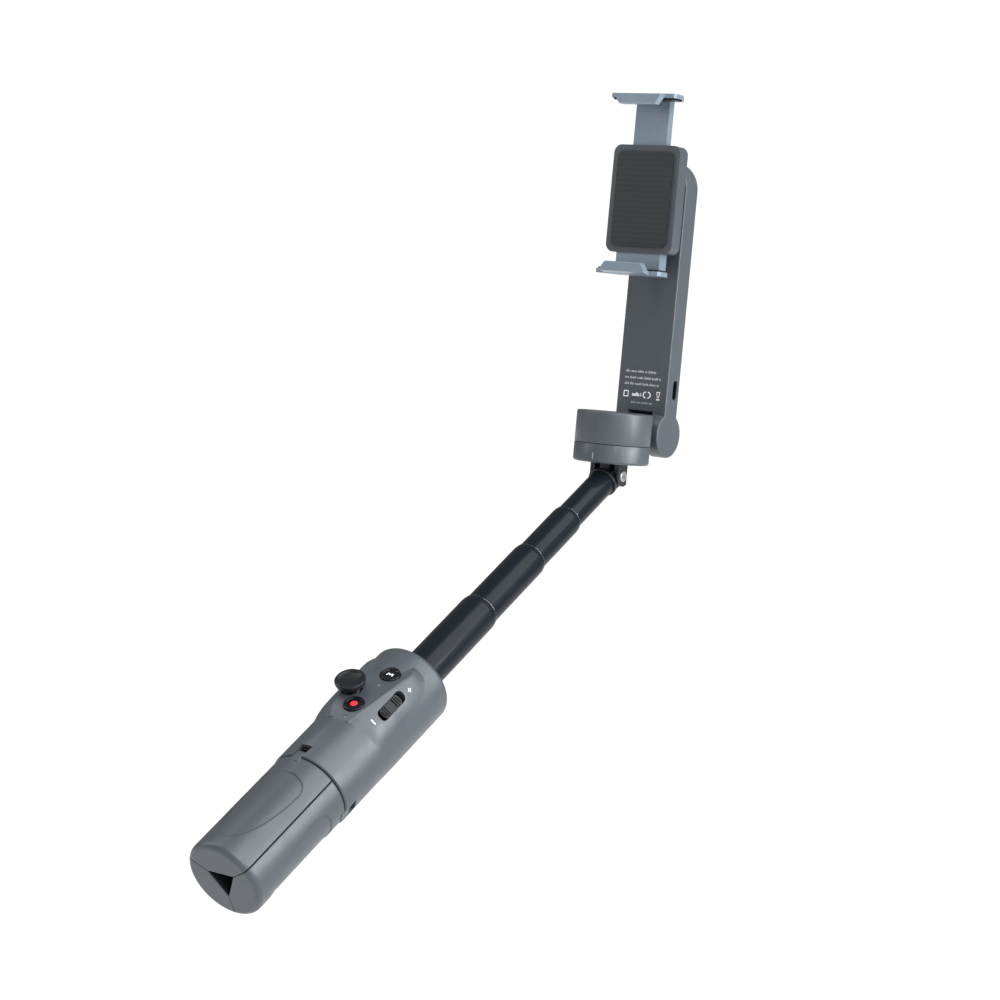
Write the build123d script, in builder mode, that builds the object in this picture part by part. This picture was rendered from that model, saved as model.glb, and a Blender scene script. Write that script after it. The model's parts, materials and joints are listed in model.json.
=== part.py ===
from build123d import *
import math
import os

# ---------------------------------------------------------------- driving dimensions, mm and degrees
LEAN = 57.3            # pole leans this far from the pan axis
PIN_H = 222.0          # tilt pin, measured along the pole from the grip point
BASE_DROP = 5.61       # tilt pin below the pan base

GRIP_R = 18.22         # housing outside
BAND_R, BAND_TOP = 18.0, 6.5   # plain band by the legs
GRIP_WALL = 1.8
GRIP_TOP = 58.0
GRIP_LOW = -17.0       # housing meets the legs here
LEG_R = 17.5
LEG_TOP = -17.7
LEG_LOW = -74.0
LEG_CHORD = 3.9        # flat inner side of each leg, from the axis
LEG_PIN_R, LEG_PIN_D, LEG_PIN_H = 0.7, 16.0, -14.9

PANEL_PHI = 8.0        # the control panel is turned this far round the handle
PANEL_P = 19.2         # panel height above the axis at PANEL_H
PANEL_H = 14.0
PANEL_CURVE = 0.0024   # the panel falls away from PANEL_H as a parabola

STICK_V, STICK_H = -5.6, 25.5
STICK_PIVOT = 14.8
RECORD_V, RECORD_H, RECORD_R = 1.45, 17.3, 4.4
MODE_V, MODE_H, MODE_R = 3.35, 40.2, 4.4
ZOOM_PHI, ZOOM_H = 48.8, 26.6
LIGHTS = ((1.8, 10.1), (3.45, 31.9))

TUBE_R = (8.9, 8.05, 7.15, 6.3)
TUBE_WALL = 0.4
TUBE_LEN = (65.0, 68.0, 68.0, 68.0)
TUBE_TOP = (110.0, 151.7, 184.2, 215.0)
FIT = 0.05             # radial running clearance

MOTOR_R = 17.64
SEAM_Z = 8.76
MOTOR_TOP = 23.6

FOLD_Y, FOLD_Z, FOLD_R = 27.0, 14.3, 10.4
KNUCKLE_R, KNUCKLE_HALF = 9.6, 6.5
ARM_Y0, ARM_Y1 = 22.0, 32.75
ARM_HALF = 13.75
ROLL_Z = 129.15

PHONE_BACK = 5.45
PHONE_FRONT = -2.25
JAW_LOW, JAW_HIGH = 90.4, 168.0
JAW_HALF = 17.6

# ---------------------------------------------------------------- frames
SN, CS = math.sin(math.radians(LEAN)), math.cos(math.radians(LEAN))
U = Vector(0, SN, CS)          # up the pole
V = Vector(0, CS, -SN)         # away from the user's thumb
X = Vector(1, 0, 0)
HY, HZ = PIN_H * SN, PIN_H * CS + BASE_DROP


def hp(h):
    """Plane across the handle at height h: local x is X, local y is V."""
    return Plane(origin=U * h, x_dir=X, z_dir=U)


def hside(x=0.0):
    """Plane along the handle, normal X: local x is V, local y is U."""
    return Plane(origin=X * x, x_dir=V, z_dir=X)


def radial(phi, d, h):
    """Plane facing outwards at angle phi from the thumb side."""
    p = math.radians(phi)
    n = X * math.sin(p) - V * math.cos(p)
    e = X * math.cos(p) + V * math.sin(p)
    return Plane(origin=n * d + U * h, x_dir=e, z_dir=n)


def legside(phi, off=0.0):
    """Plane through the axis containing direction phi: local x is outwards, local y is U."""
    p = math.radians(phi)
    n = X * math.sin(p) - V * math.cos(p)
    e = X * math.cos(p) + V * math.sin(p)
    # n x U
    return Plane(origin=e * off, x_dir=n, z_dir=n.cross(U))


def panel_top(h):
    return PANEL_P - PANEL_CURVE * (h - PANEL_H) ** 2


def panel(v, h, lift=0.0):
    """Plane on the control panel, lifted off it."""
    p = math.radians(PANEL_PHI)
    n = X * math.sin(p) - V * math.cos(p)
    e = X * math.cos(p) + V * math.sin(p)
    normal = (n + U * (2 * PANEL_CURVE * (h - PANEL_H))).normalized()
    return Plane(origin=n * panel_top(h) + e * v + U * h + normal * lift, x_dir=e, z_dir=normal)


def flat(v, h, height):
    """Plane parallel to the handle axis under the panel."""
    p = math.radians(PANEL_PHI)
    n = X * math.sin(p) - V * math.cos(p)
    e = X * math.cos(p) + V * math.sin(p)
    return Plane(origin=n * height + e * v + U * h, x_dir=e, z_dir=n)


def pv(v, height):
    """Panel cross-section coordinates to the handle's own X, V."""
    p = math.radians(PANEL_PHI)
    return (v * math.cos(p) + height * math.sin(p), v * math.sin(p) - height * math.cos(p))


def hd(z):
    """Level plane at height z above the pan base."""
    return Plane(origin=(0, HY, HZ + z), x_dir=(1, 0, 0), z_dir=(0, 0, 1))


def hf(y):
    """Upright plane facing the user: local x is X, local y is Z; extrudes towards the user."""
    return Plane(origin=(0, HY + y, HZ), x_dir=(1, 0, 0), z_dir=(0, -1, 0))


def hs(x=0.0):
    """Upright plane, normal X: local x is Y, local y is Z."""
    return Plane(origin=(x, HY, HZ), x_dir=(0, 1, 0), z_dir=(1, 0, 0))


os.makedirs("parts", exist_ok=True)

# ================================================================= handle housing
# height up the handle, half width and height of the panel, flank radius
sections = ((8.0, 4.8, 17.9, 17.85), (10.0, 5.6, 18.3, 18.35), (12.5, 6.7, 18.85, 18.95), (15.5, 7.6, panel_top(15.5), 19.3),
            (20.0, 8.4, panel_top(20.0), 19.5), (27.0, 9.3, panel_top(27.0), 19.4), (34.0, 10.2, panel_top(34.0), 19.2),
            (40.0, 10.9, panel_top(40.0), 19.0), (44.5, 11.2, panel_top(44.5), 18.7), (48.5, 10.0, 16.4, 18.2), (52.0, 7.6, 15.2, 17.5))
with BuildPart() as grip_shell:
    with BuildSketch(hside()):
        Polygon((0, GRIP_LOW), (BAND_R, GRIP_LOW), (BAND_R, BAND_TOP), (GRIP_R, BAND_TOP + 10), (GRIP_R, GRIP_TOP), (0, GRIP_TOP), align=None)
    revolve(axis=Axis((0, 0, 0), U))
    fillet(grip_shell.edges().filter_by(GeomType.CIRCLE).sort_by(Axis((0, 0, 0), U))[-1], 3.0)
    chamfer(grip_shell.edges().filter_by(GeomType.CIRCLE).sort_by(Axis((0, 0, 0), U))[0], 0.5)
    for h, w, p, m in sections:
        with BuildSketch(hp(h)):
            with BuildLine():
                a80, a52 = math.radians(80), math.radians(52)
                right, left = pv(17.8 * math.sin(a80), 17.8 * math.cos(a80)), pv(-17.8 * math.sin(a80), 17.8 * math.cos(a80))
                l1 = Line(pv(-w + 0.45, p), pv(w - 0.45, p))
                l2 = Line(pv(w - 0.45, p), pv(w + 0.2, p - 0.38))
                l3 = ThreePointArc(pv(w + 0.2, p - 0.38), pv(m * math.sin(a52), m * math.cos(a52)), right)
                l4 = Line(right, left)
                l5 = ThreePointArc(left, pv(-m * math.sin(a52), m * math.cos(a52)), pv(-w - 0.2, p - 0.38))
                l6 = Line(pv(-w - 0.2, p - 0.38), pv(-w + 0.45, p))
            make_face()
    loft()
    # cavity
    with BuildSketch(hp(GRIP_LOW)):
        Circle(BAND_R - GRIP_WALL)
    extrude(amount=GRIP_TOP - 2.6 - GRIP_LOW, mode=Mode.SUBTRACT)
    with BuildSketch(hp(GRIP_TOP - 5)):
        Circle(10.7)
    extrude(amount=10, mode=Mode.SUBTRACT)
    # pocket under the panel, and the joystick's
    with BuildSketch(panel(0, 30, -1.6)):
        Polygon((-6.2, -15), (6.2, -15), (9.0, 15), (-9.0, 15), align=None)
    extrude(amount=-8, mode=Mode.SUBTRACT)
    with BuildSketch(flat(STICK_V, STICK_H, 10.0)):
        Rectangle(9.0, 9.8)
    extrude(amount=6.2, mode=Mode.SUBTRACT)
    # control openings
    with BuildSketch(flat(STICK_V, STICK_H, 13.0)):
        Circle(4.65)
    extrude(amount=12, mode=Mode.SUBTRACT)
    with BuildSketch(panel(RECORD_V, RECORD_H, 4)):
        Circle(RECORD_R + 0.15)
    extrude(amount=-10, mode=Mode.SUBTRACT)
    with BuildSketch(panel(MODE_V, MODE_H, 4)):
        Circle(MODE_R + 0.15)
    extrude(amount=-10, mode=Mode.SUBTRACT)
    for v, h in LIGHTS:
        with BuildSketch(flat(v, h, 22)):
            Circle(0.72)
        extrude(amount=-12, mode=Mode.SUBTRACT)
    with BuildSketch(radial(ZOOM_PHI, 13.5, ZOOM_H)):
        RectangleRounded(5.2, 16.9, 2.2)
    extrude(amount=10, mode=Mode.SUBTRACT)
    with BuildSketch(radial(ZOOM_PHI, 13.0, ZOOM_H)):
        Rectangle(7.6, 22.2)
    extrude(amount=3.9, mode=Mode.SUBTRACT)
    # notches over the leg hinges
    for k in (0, 120, 240):
        with BuildSketch(radial(k, 12, 0)):
            Polygon((-2.9, -10.3), (2.9, -10.3), (2.2, -17.6), (-2.2, -17.6), align=None)
        extrude(amount=10, mode=Mode.SUBTRACT)
        with BuildSketch(legside(k)):
            with Locations((LEG_PIN_D, LEG_PIN_H)):
                Circle(LEG_PIN_R + 0.05)
        extrude(amount=4.8, both=True, mode=Mode.SUBTRACT)
grip_shell.part.label = "grip_shell"
export_step(grip_shell.part, "parts/grip_shell.step")

# sleeve the pole slides in, showing as a ring round the pole's foot
with BuildPart() as guide_sleeve:
    with BuildSketch(hp(-6.0)):
        Circle(10.5)
        Circle(TUBE_R[0] + 0.45, mode=Mode.SUBTRACT)
    extrude(amount=60.0)
    with BuildSketch(hp(54.0)):
        Circle(10.5)
        Circle(TUBE_R[0] + FIT, mode=Mode.SUBTRACT)
    extrude(amount=3.6)
guide_sleeve.part.label = "guide_sleeve"
export_step(guide_sleeve.part, "parts/guide_sleeve.step")

with BuildPart() as leg_hub:
    with BuildSketch(hp(-16.8)):
        Circle(BAND_R - GRIP_WALL - 0.05)
    extrude(amount=10.8)
    for k in (0, 120, 240):
        with BuildSketch(legside(k)):
            with Locations((LEG_PIN_D - 0.2, LEG_PIN_H - 1.0)):
                Rectangle(8.0, 9.0)
        extrude(amount=2.25, both=True, mode=Mode.SUBTRACT)
        with BuildSketch(legside(k)):
            with Locations((LEG_PIN_D, LEG_PIN_H)):
                Circle(LEG_PIN_R + 0.02)
        extrude(amount=5.2, both=True, mode=Mode.SUBTRACT)
        with BuildSketch(hp(-16.8)):
            with Locations((7.0 * math.sin(math.radians(k + 60)), -7.0 * math.cos(math.radians(k + 60)))):
                Circle(1.0)
        extrude(amount=8.0, mode=Mode.SUBTRACT)
leg_hub.part.label = "leg_hub"
export_step(leg_hub.part, "parts/leg_hub.step")

with BuildPart() as leg_pins:
    for k in (0, 120, 240):
        with BuildSketch(legside(k)):
            with Locations((LEG_PIN_D, LEG_PIN_H)):
                Circle(LEG_PIN_R)
        extrude(amount=4.6, both=True)
leg_pins.part.label = "leg_pins"
export_step(leg_pins.part, "parts/leg_pins.step")

with BuildPart() as hub_screws:
    for k in (60, 180, 300):
        c = (7.0 * math.sin(math.radians(k)), -7.0 * math.cos(math.radians(k)))
        with BuildSketch(hp(-16.7)):
            with Locations(c):
                Circle(0.95)
        extrude(amount=7.6)
hub_screws.part.label = "hub_screws"
export_step(hub_screws.part, "parts/hub_screws.step")

# ================================================================= legs
# outline of the shallow finger recess: height along the leg, half width
RECESS = ((-26.3, 3.4), (-27.0, 6.6), (-28.7, 9.4), (-31.8, 10.8), (-36.0, 11.0), (-40.0, 10.8), (-47.8, 10.0), (-54.5, 8.9),
          (-59.2, 7.4), (-63.2, 5.4), (-66.0, 2.4))
RECESS_PHI, RECESS_DEPTH = 2.5, 0.4
for i, k in enumerate((0, 120, 240)):
    pr = math.radians(k)
    nx, nv = math.sin(pr), -math.cos(pr)
    with BuildPart() as recess:
        with BuildSketch(radial(k + RECESS_PHI, 8, 0)):
            with BuildLine():
                pts = [(w, h) for h, w in RECESS] + [(-w, h) for h, w in reversed(RECESS)]
                Spline(*pts, periodic=True)
            make_face()
        extrude(amount=14)
        with BuildSketch(hp(LEG_LOW - 5)):
            Circle(LEG_R - RECESS_DEPTH)
        extrude(amount=100, mode=Mode.SUBTRACT)
    with BuildPart() as leg:
        with BuildSketch(hp(LEG_LOW)):
            Circle(LEG_R)
            a1, a2 = math.radians(k - 59.2), math.radians(k + 59.2)
            with BuildLine():
                d = LEG_CHORD / math.cos(math.radians(59.2))
                p1 = (d * math.sin(a1), -d * math.cos(a1))
                p2 = (d * math.sin(a2), -d * math.cos(a2))
                q1 = (40 * math.sin(a1), -40 * math.cos(a1))
                q2 = (40 * math.sin(a2), -40 * math.cos(a2))
                Polyline(p1, q1, (60 * nx, 60 * nv), q2, p2, close=True)
            make_face(mode=Mode.INTERSECT)
        extrude(amount=LEG_TOP - LEG_LOW)
        # rounded bottom rim
        rim = leg.edges().filter_by(GeomType.CIRCLE).sort_by(Axis((0, 0, 0), U))[0]
        fillet(rim, 2.6)
        # hinge tongue
        with BuildSketch(legside(k)):
            with Locations((LEG_PIN_D, LEG_PIN_H)):
                Circle(1.75)
            with Locations((LEG_PIN_D, (LEG_PIN_H + LEG_TOP - 2) / 2)):
                Rectangle(3.5, LEG_PIN_H - LEG_TOP + 2)
            with Locations((LEG_PIN_D, LEG_PIN_H)):
                Circle(LEG_PIN_R + FIT, mode=Mode.SUBTRACT)
        extrude(amount=2.0, both=True)
        # pocket inside
        with BuildSketch(legside(k)):
            with Locations((LEG_CHORD + 3.5, -45.0)):
                Rectangle(9.0, 42.0)
        extrude(amount=3.6, both=True, mode=Mode.SUBTRACT)
        add(recess.part, mode=Mode.SUBTRACT)
        edge = [e for e in leg.edges() if e.geom_type not in (GeomType.CIRCLE, GeomType.LINE)
                and all(abs(math.hypot((e @ t).X, (e @ t).dot(V)) - LEG_R) < 0.01 and -67.5 < (e @ t).dot(U) < -25.5 for t in (0.0, 0.2, 0.4, 0.6, 0.8))]
        chamfer(edge, 0.28)
    name = ("leg_front", "leg_right", "leg_left")[i]
    leg.part.label = name
    export_step(leg.part, "parts/" + name + ".step")

# ================================================================= controls
with BuildPart() as control_board:
    with BuildSketch(flat(-2.3, 29.0, 11.0)):
        Rectangle(15.6, 42.0)
    extrude(amount=1.0)
control_board.part.label = "control_board"
export_step(control_board.part, "parts/control_board.step")

with BuildPart() as joystick_module:
    with BuildSketch(flat(STICK_V, STICK_H, 12.05)):
        Rectangle(8.8, 9.6)
    extrude(amount=3.8)
    with BuildSketch(flat(STICK_V, STICK_H, 12.6)):
        Circle(3.85)
    extrude(amount=4.0, mode=Mode.SUBTRACT)
    with BuildSketch(Plane(origin=flat(STICK_V, STICK_H, STICK_PIVOT).origin, x_dir=U, z_dir=flat(0, 0, 0).x_dir)):
        Circle(0.54)
    extrude(amount=6, both=True, mode=Mode.SUBTRACT)
joystick_module.part.label = "joystick_module"
export_step(joystick_module.part, "parts/joystick_module.step")

with BuildPart() as joystick_ring:
    with BuildSketch(flat(STICK_V, STICK_H, STICK_PIVOT - 0.75)):
        Circle(3.5)
        Circle(2.4, mode=Mode.SUBTRACT)
    extrude(amount=1.5)
    with BuildSketch(Plane(origin=flat(STICK_V, STICK_H, STICK_PIVOT).origin, x_dir=U, z_dir=flat(0, 0, 0).x_dir)):
        Circle(0.48)
    extrude(amount=4.3, both=True)
    with BuildSketch(flat(STICK_V, STICK_H, STICK_PIVOT - 2)):
        Circle(2.4)
    extrude(amount=4, mode=Mode.SUBTRACT)
    with BuildSketch(Plane(origin=flat(STICK_V, STICK_H, STICK_PIVOT).origin, x_dir=flat(0, 0, 0).x_dir, z_dir=U)):
        Circle(0.54)
    extrude(amount=6, both=True, mode=Mode.SUBTRACT)
joystick_ring.part.label = "joystick_ring"
export_step(joystick_ring.part, "parts/joystick_ring.step")

# stem with its dust dome
with BuildPart() as joystick_stem:
    with BuildSketch(flat(STICK_V, STICK_H, STICK_PIVOT - 0.9)):
        Circle(1.3)
    extrude(amount=7.0)
    with BuildSketch(Plane(origin=flat(STICK_V, STICK_H, STICK_PIVOT).origin, x_dir=flat(0, 0, 0).x_dir, z_dir=U)):
        Circle(0.48)
    extrude(amount=3.3, both=True)
    dome = Plane(origin=flat(STICK_V, STICK_H, STICK_PIVOT).origin, x_dir=flat(0, 0, 0).x_dir, z_dir=U)
    with BuildSketch(dome):
        with BuildLine():
            n_sign = -1.0
            ao = math.radians(50)
            Polyline((0, n_sign * 4.5), (0, n_sign * 5.0))
            ThreePointArc((0, n_sign * 5.0), (5.0 * math.sin(ao / 2), n_sign * 5.0 * math.cos(ao / 2)), (5.0 * math.sin(ao), n_sign * 5.0 * math.cos(ao)))
            Polyline((5.0 * math.sin(ao), n_sign * 5.0 * math.cos(ao)), (4.5 * math.sin(ao), n_sign * 4.5 * math.cos(ao)))
            ThreePointArc((4.5 * math.sin(ao), n_sign * 4.5 * math.cos(ao)), (4.5 * math.sin(ao / 2), n_sign * 4.5 * math.cos(ao / 2)), (0, n_sign * 4.5))
        make_face()
    revolve(axis=Axis(flat(STICK_V, STICK_H, STICK_PIVOT).origin, flat(0, 0, 0).z_dir), revolution_arc=360)
joystick_stem.part.label = "joystick_stem"
export_step(joystick_stem.part, "parts/joystick_stem.step")

# thumb cap: dished top, mushroom underside
cap_top = panel_top(STICK_H) + 5.2 - STICK_PIVOT
with BuildPart() as joystick_cap:
    with BuildSketch(Plane(origin=flat(STICK_V, STICK_H, STICK_PIVOT).origin, x_dir=flat(0, 0, 0).x_dir, z_dir=U)):
        with BuildLine():
            Polyline((0, -(cap_top - 4.3)), (2.8, -(cap_top - 4.3)), (3.0, -(cap_top - 3.4)), (5.7, -(cap_top - 2.8)), (6.15, -(cap_top - 2.5)),
                     (6.25, -(cap_top - 1.95)), (6.05, -(cap_top - 1.8)), (6.05, -(cap_top - 1.6)), (6.5, -(cap_top - 1.4)),
                     (6.5, -(cap_top - 0.45)), (6.2, -(cap_top - 0.1)), (5.8, -cap_top), (5.2, -cap_top), (4.4, -(cap_top - 0.5)))
            Polyline((4.4, -(cap_top - 0.5)), (3.0, -(cap_top - 0.75)), (1.5, -(cap_top - 0.9)), (0, -(cap_top - 0.95)), (0, -(cap_top - 4.3)))
        make_face()
    revolve(axis=Axis(flat(STICK_V, STICK_H, STICK_PIVOT).origin, flat(0, 0, 0).z_dir), revolution_arc=360)
    with BuildSketch(flat(STICK_V, STICK_H, STICK_PIVOT + 3)):
        Circle(1.32)
    extrude(amount=cap_top - 3.0 - 3, mode=Mode.SUBTRACT)
joystick_cap.part.label = "joystick_cap"
export_step(joystick_cap.part, "parts/joystick_cap.step")

with BuildPart() as mode_button:
    with BuildSketch(panel(MODE_V, MODE_H, -1.2)):
        Circle(MODE_R)
    extrude(amount=1.8)
    fillet(mode_button.edges().sort_by(Axis(panel(MODE_V, MODE_H).origin, panel(MODE_V, MODE_H).z_dir))[-1], 0.4)
    with BuildSketch(panel(MODE_V, MODE_H, 0.35)):
        Circle(MODE_R - 1.1)
    extrude(amount=1, taper=-45, mode=Mode.SUBTRACT)
    with BuildSketch(panel(MODE_V, MODE_H, -2.3)):
        Circle(1.5)
    extrude(amount=1.2)
mode_button.part.label = "mode_button"
export_step(mode_button.part, "parts/mode_button.step")

with BuildPart() as record_button:
    with BuildSketch(panel(RECORD_V, RECORD_H, -1.2)):
        Circle(RECORD_R)
    extrude(amount=1.8)
    fillet(record_button.edges().sort_by(Axis(panel(RECORD_V, RECORD_H).origin, panel(RECORD_V, RECORD_H).z_dir))[-1], 0.35)
    with BuildSketch(panel(RECORD_V, RECORD_H, 0.35)):
        Circle(RECORD_R - 1.1)
    extrude(amount=1, taper=-45, mode=Mode.SUBTRACT)
    with BuildSketch(panel(RECORD_V, RECORD_H, -2.3)):
        Circle(1.5)
    extrude(amount=1.2)
    with BuildSketch(panel(RECORD_V, RECORD_H, 0.1)):
        Circle(1.6)
    extrude(amount=1, mode=Mode.SUBTRACT)
record_button.part.label = "record_button"
export_step(record_button.part, "parts/record_button.step")

with BuildPart() as record_dot:
    with BuildSketch(panel(RECORD_V, RECORD_H, 0.1)):
        Circle(1.55)
    extrude(amount=0.25)
record_dot.part.label = "record_dot"
export_step(record_dot.part, "parts/record_dot.step")

with BuildPart() as button_switches:
    for v, h in ((RECORD_V, RECORD_H), (MODE_V, MODE_H)):
        with BuildSketch(flat(v, h, 12.05)):
            Rectangle(4.4, 4.4)
        extrude(amount=1.8)
        with BuildSketch(flat(v, h, 13.8)):
            Circle(1.1)
        top = panel_top(h) - 2.3 - 0.8 - 13.8
        extrude(amount=max(top, 0.3))
    with BuildSketch(radial(ZOOM_PHI, 11.2, ZOOM_H)):
        Rectangle(4.6, 12.0)
    extrude(amount=3.0)
button_switches.part.label = "button_switches"
export_step(button_switches.part, "parts/button_switches.step")

with BuildPart() as light_pipes:
    for (v, h), top in zip(LIGHTS, (18.1, panel_top(LIGHTS[1][1]))):
        with BuildSketch(flat(v, h, top - 5.0)):
            Circle(0.68)
        extrude(amount=5.05)
light_pipes.part.label = "light_pipes"
export_step(light_pipes.part, "parts/light_pipes.step")

with BuildPart() as zoom_knob:
    with BuildSketch(radial(ZOOM_PHI, 15.4, ZOOM_H)):
        Rectangle(7.0, 17.4)
    extrude(amount=0.9)
    with BuildSketch(radial(ZOOM_PHI, 16.0, ZOOM_H)):
        RectangleRounded(4.8, 12.2, 1.7)
    extrude(amount=3.2)
    for j in (-5.0, -3.8, -2.6, 2.6, 3.8, 5.0):
        with BuildSketch(radial(ZOOM_PHI, 19.1, ZOOM_H)):
            with Locations((0, j)):
                Rectangle(3.0 if abs(j) > 4.5 else 4.2, 0.65)
        extrude(amount=0.6)
zoom_knob.part.label = "zoom_knob"
export_step(zoom_knob.part, "parts/zoom_knob.step")

# ================================================================= pole
inner_fit = (TUBE_R[1], TUBE_R[2], TUBE_R[3], None)
outer_bore = (TUBE_R[0] + 0.45, TUBE_R[0] - TUBE_WALL, TUBE_R[1] - TUBE_WALL, TUBE_R[2] - TUBE_WALL)
for i, letter in enumerate("abcd"):
    r, top, low = TUBE_R[i], TUBE_TOP[i], TUBE_TOP[i] - TUBE_LEN[i]
    with BuildPart() as tube:
        with BuildSketch(hside()):
            if i < 3:
                # swaged mouth that guides the next section
                Polygon((r - TUBE_WALL, low), (r, low), (r, top - 2.6), (r - 0.14, top - 1.3), (r - 0.42, top), (TUBE_R[i + 1] + FIT, top),
                        (TUBE_R[i + 1] + FIT, top - 2.0), (r - TUBE_WALL, top - 2.9), align=None)
            else:
                Polygon((r - TUBE_WALL, low), (r, low), (r, top), (r - TUBE_WALL, top), align=None)
        revolve(axis=Axis((0, 0, 0), U))
    tube.part.label = "tube_" + letter
    export_step(tube.part, "parts/tube_" + letter + ".step")
    with BuildPart() as bush:
        with BuildSketch(hp(low)):
            Circle(outer_bore[i] - FIT)
            Circle(r, mode=Mode.SUBTRACT)
        extrude(amount=7.0)
    bush.part.label = "bush_" + letter
    export_step(bush.part, "parts/bush_" + letter + ".step")

# ================================================================= tilt hinge
with BuildPart() as tilt_fork:
    with BuildSketch(hp(207.0)):
        Circle(TUBE_R[3] - TUBE_WALL - 0.02)
    extrude(amount=8.0)
    with BuildSketch(hp(215.0)):
        Circle(7.25)
    extrude(amount=1.7)
    fillet(tilt_fork.edges().filter_by(GeomType.CIRCLE).filter_by(lambda e: abs(e.radius - 7.25) < 1e-3), 0.4)
    with BuildSketch(hside()):
        with Locations((0, PIN_H)):
            Circle(4.7)
        with Locations((0, (PIN_H + 216.0) / 2)):
            Rectangle(9.4, PIN_H - 216.0)
    extrude(amount=5.2, both=True)
    with BuildSketch(hside()):
        with Locations((0, 216.75 + 6)):
            Rectangle(16, 12)
    extrude(amount=2.8, both=True, mode=Mode.SUBTRACT)
    with BuildSketch(hside()):
        with Locations((0, PIN_H)):
            Circle(1.5 + FIT)
    extrude(amount=10, both=True, mode=Mode.SUBTRACT)
tilt_fork.part.label = "tilt_fork"
export_step(tilt_fork.part, "parts/tilt_fork.step")

with BuildPart() as tilt_screw:
    with BuildSketch(hside(-7.8)):
        with Locations((0, PIN_H)):
            Circle(1.5)
    extrude(amount=14.8)
    with BuildSketch(hside(6.9)):
        with Locations((0, PIN_H)):
            Circle(2.5)
    extrude(amount=1.15)
    fillet(tilt_screw.edges().filter_by(GeomType.CIRCLE).sort_by(Axis.X)[-1], 0.3)
    with BuildSketch(hside(7.55)):
        with Locations((0, PIN_H)):
            Rectangle(2.8, 0.6)
            Rectangle(0.6, 2.8)
    extrude(amount=2, mode=Mode.SUBTRACT)
tilt_screw.part.label = "tilt_screw"
export_step(tilt_screw.part, "parts/tilt_screw.step")

# ================================================================= pan motor
with BuildPart() as pan_base:
    with BuildSketch(hd(0)):
        Circle(MOTOR_R)
    extrude(amount=SEAM_Z - 0.15)
    fillet(pan_base.edges().filter_by(GeomType.CIRCLE).sort_by(Axis.Z)[0], 1.2)
    with BuildSketch(hd(1.8)):
        Circle(16.0)
    extrude(amount=20, mode=Mode.SUBTRACT)
    with BuildSketch(hd(1.5)):
        Circle(4.6)
    extrude(amount=16.0)
    for x0, x1 in ((-7.8, -5.4), (-2.6, 2.6), (5.4, 7.8)):
        with BuildSketch(hs(x0)):
            with Locations((0, -BASE_DROP)):
                Circle(4.8)
            with Locations((0, -BASE_DROP / 2 + 0.25)):
                Rectangle(9.6, BASE_DROP + 0.5)
            with Locations((2.9 + 3, -BASE_DROP / 2 - 5)):
                Rectangle(6, BASE_DROP + 10, mode=Mode.SUBTRACT)
        extrude(amount=x1 - x0)
    with BuildSketch(hd(2.6)):
        Circle(3.0)
    extrude(amount=20, mode=Mode.SUBTRACT)
    with BuildSketch(hs()):
        with Locations((0, -BASE_DROP)):
            Circle(1.51)
    extrude(amount=10, both=True, mode=Mode.SUBTRACT)
    with BuildSketch(hs(6.88)):
        with Locations((0, -BASE_DROP)):
            Circle(2.55)
    extrude(amount=3, mode=Mode.SUBTRACT)
pan_base.part.label = "pan_base"
export_step(pan_base.part, "parts/pan_base.step")

with BuildPart() as pan_board:
    with BuildSketch(hd(3.2)):
        Circle(15.0)
        Circle(5.2, mode=Mode.SUBTRACT)
    extrude(amount=1.0)
    for a in range(6):
        with BuildSketch(hd(4.2)):
            with PolarLocations(10.5, 1, start_angle=60 * a + 15):
                Rectangle(3.6, 3.6)
        extrude(amount=0.9)
pan_board.part.label = "pan_board"
export_step(pan_board.part, "parts/pan_board.step")

with BuildPart() as pan_stator:
    with BuildSketch(hd(10.0)):
        Circle(13.4)
        Circle(4.65, mode=Mode.SUBTRACT)
        with PolarLocations(9.6, 12, start_angle=15):
            SlotCenterToCenter(3.6, 1.9, mode=Mode.SUBTRACT)
        with PolarLocations(12.8, 12, start_angle=15):
            Rectangle(3.0, 0.8, mode=Mode.SUBTRACT)
    extrude(amount=7.0)
pan_stator.part.label = "pan_stator"
export_step(pan_stator.part, "parts/pan_stator.step")

with BuildPart() as pan_bearings:
    for z in (3.0, 14.6):
        with BuildSketch(hd(z)):
            Circle(2.98)
            Circle(1.5 + FIT, mode=Mode.SUBTRACT)
        extrude(amount=2.5)
pan_bearings.part.label = "pan_bearings"
export_step(pan_bearings.part, "parts/pan_bearings.step")

with BuildPart() as pan_cup:
    with BuildSketch(hd(SEAM_Z + 0.15)):
        Circle(MOTOR_R)
    extrude(amount=MOTOR_TOP - SEAM_Z - 0.15)
    fillet(pan_cup.edges().filter_by(GeomType.CIRCLE).sort_by(Axis.Z)[-1], 0.8)
    with BuildSketch(hs()):
        with Locations((FOLD_Y, FOLD_Z)):
            Circle(KNUCKLE_R)
        with Locations(((FOLD_Y + 13.0) / 2, 15.2)):
            Rectangle(FOLD_Y - 13.0, 11.0)
    extrude(amount=KNUCKLE_HALF, both=True)
    with BuildSketch(hd(-3)):
        Circle(16.0)
    extrude(amount=MOTOR_TOP - 2.0 + 3, mode=Mode.SUBTRACT)
    with BuildSketch(hs()):
        with Locations((FOLD_Y, FOLD_Z)):
            Circle(2.0 + FIT)
    extrude(amount=10, both=True, mode=Mode.SUBTRACT)
    with BuildSketch(hd(MOTOR_TOP - 5)):
        Circle(1.51)
    extrude(amount=4.2, mode=Mode.SUBTRACT)
pan_cup.part.label = "pan_cup"
export_step(pan_cup.part, "parts/pan_cup.step")

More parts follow.
